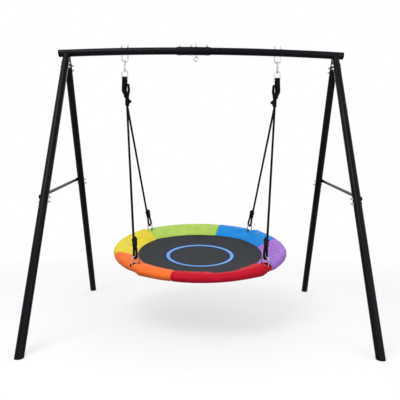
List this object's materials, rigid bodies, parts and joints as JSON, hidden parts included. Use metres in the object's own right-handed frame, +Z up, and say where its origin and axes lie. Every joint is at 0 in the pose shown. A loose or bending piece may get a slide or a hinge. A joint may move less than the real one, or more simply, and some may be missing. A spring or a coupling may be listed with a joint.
{
  "type": "saucer swing with A-frame stand",
  "caption": "Round padded saucer seat hung by four ropes, snap hooks and U-bolts from an arched crossbar on a steel A-frame stand; it swings fore and aft and sways sideways.",
  "frame": {"origin": "on the ground, under the middle of the crossbar", "axes": "+X along the crossbar to the right, -Y towards the front, +Z up"},
  "size_m": [1.8124, 1.4548, 1.7495],
  "materials": {
    "black_steel": "gloss black powder coat",
    "zinc": "bright zinc plate",
    "rim_steel": "black powder coat, inside the covers",
    "black_plastic": "moulded, satin",
    "rope": "braided synthetic rope",
    "foam": "closed-cell foam sleeve, inside the covers",
    "mat": "woven polyester with a printed light blue ring",
    "cover_red": "coated oxford cloth over padding",
    "cover_purple": "coated oxford cloth over padding",
    "cover_blue": "coated oxford cloth over padding",
    "cover_green": "coated oxford cloth over padding",
    "cover_yellow": "coated oxford cloth over padding",
    "cover_orange": "coated oxford cloth over padding"
  },
  "bodies": {
    "frame": {"crossbar_left": "black_steel", "crossbar_right": "black_steel", "crossbar_sleeve": "black_steel", "upper_leg_front_left": "black_steel", "upper_leg_front_right": "black_steel", "upper_leg_rear_left": "black_steel", "upper_leg_rear_right": "black_steel", "lower_leg_front_left": "black_steel", "lower_leg_front_right": "black_steel", "lower_leg_rear_left": "black_steel", "lower_leg_rear_right": "black_steel", "brace_left": "black_steel", "brace_right": "black_steel", "sleeve_bolts": "zinc", "sleeve_nuts": "zinc", "eye_bolt": "zinc", "eye_bolt_nuts": "zinc", "u_bolt_left": "zinc", "u_bolt_right": "zinc", "u_bolt_nuts": "zinc", "socket_bolts": "zinc", "socket_nuts": "zinc", "joint_bolts": "zinc", "joint_nuts": "zinc", "end_caps": "black_plastic", "foot_caps": "black_plastic"},
    "hook_left": {"hook_left": "zinc", "gate_pin_left": "zinc"},
    "hook_right": {"hook_right": "zinc", "gate_pin_right": "zinc"},
    "gate_left": {"gate_left": "zinc", "gate_spring_left": "zinc"},
    "gate_right": {"gate_right": "zinc", "gate_spring_right": "zinc"},
    "rope_left": {"hang_ring_left": "zinc", "rope_hank_left": "rope", "rope_knot_left": "rope", "rope_front_left": "rope", "rope_rear_left": "rope", "adjusters_left": "black_plastic"},
    "rope_right": {"hang_ring_right": "zinc", "rope_hank_right": "rope", "rope_knot_right": "rope", "rope_front_right": "rope", "rope_rear_right": "rope", "adjusters_right": "black_plastic"},
    "saucer": {"rim_tube_rear_right": "rim_steel", "rim_tube_rear_left": "rim_steel", "rim_tube_front_left": "rim_steel", "rim_tube_front_right": "rim_steel", "rim_screws": "zinc", "rim_foam": "foam", "rim_rings": "zinc", "mat": "mat", "cover_red": "cover_red", "cover_purple": "cover_purple", "cover_blue": "cover_blue", "cover_green": "cover_green", "cover_yellow": "cover_yellow", "cover_orange": "cover_orange"}
  },
  "joints": [
    {"name": "swing_left", "type": "hinge", "parent": "frame", "child": "hook_left", "pos_m": [-0.486, 0, 1.62175], "axis": [1, 0, 0], "range_deg": [-45, 45]},
    {"name": "swing_right", "type": "hinge", "parent": "frame", "child": "hook_right", "pos_m": [0.486, 0, 1.62175], "axis": [1, 0, 0], "range_deg": [-45, 45]},
    {"name": "sway_left", "type": "hinge", "parent": "hook_left", "child": "rope_left", "pos_m": [-0.486, 0, 1.55805], "axis": [0, 0.9833, 0.1822], "range_deg": [-6, 6]},
    {"name": "sway_right", "type": "hinge", "parent": "hook_right", "child": "rope_right", "pos_m": [0.486, 0, 1.55805], "axis": [0, 0.9833, 0.1822], "range_deg": [-6, 6]},
    {"name": "saucer_sway", "type": "hinge", "parent": "rope_left", "child": "saucer", "pos_m": [-0.35921, -0.36449, 0.4325], "axis": [0, 0.9833, 0.1822], "range_deg": [-8.3, 8.3]},
    {"name": "gate_left", "type": "hinge", "parent": "hook_left", "child": "gate_left", "pos_m": [-0.486, -0.013, 1.58305], "axis": [-1, 0, 0], "range_deg": [0, 20], "stiffness_Nm_per_rad": 0.05, "springref_deg": -28.65},
    {"name": "gate_right", "type": "hinge", "parent": "hook_right", "child": "gate_right", "pos_m": [0.486, -0.013, 1.58305], "axis": [-1, 0, 0], "range_deg": [0, 20], "stiffness_Nm_per_rad": 0.05, "springref_deg": -28.65}
  ],
  "couplings": [
    {"joint": "swing_right", "follows": "swing_left", "ratio": 1},
    {"joint": "sway_right", "follows": "sway_left", "ratio": 1},
    {"joint": "saucer_sway", "follows": "sway_left", "ratio": -1.353}
  ]
}
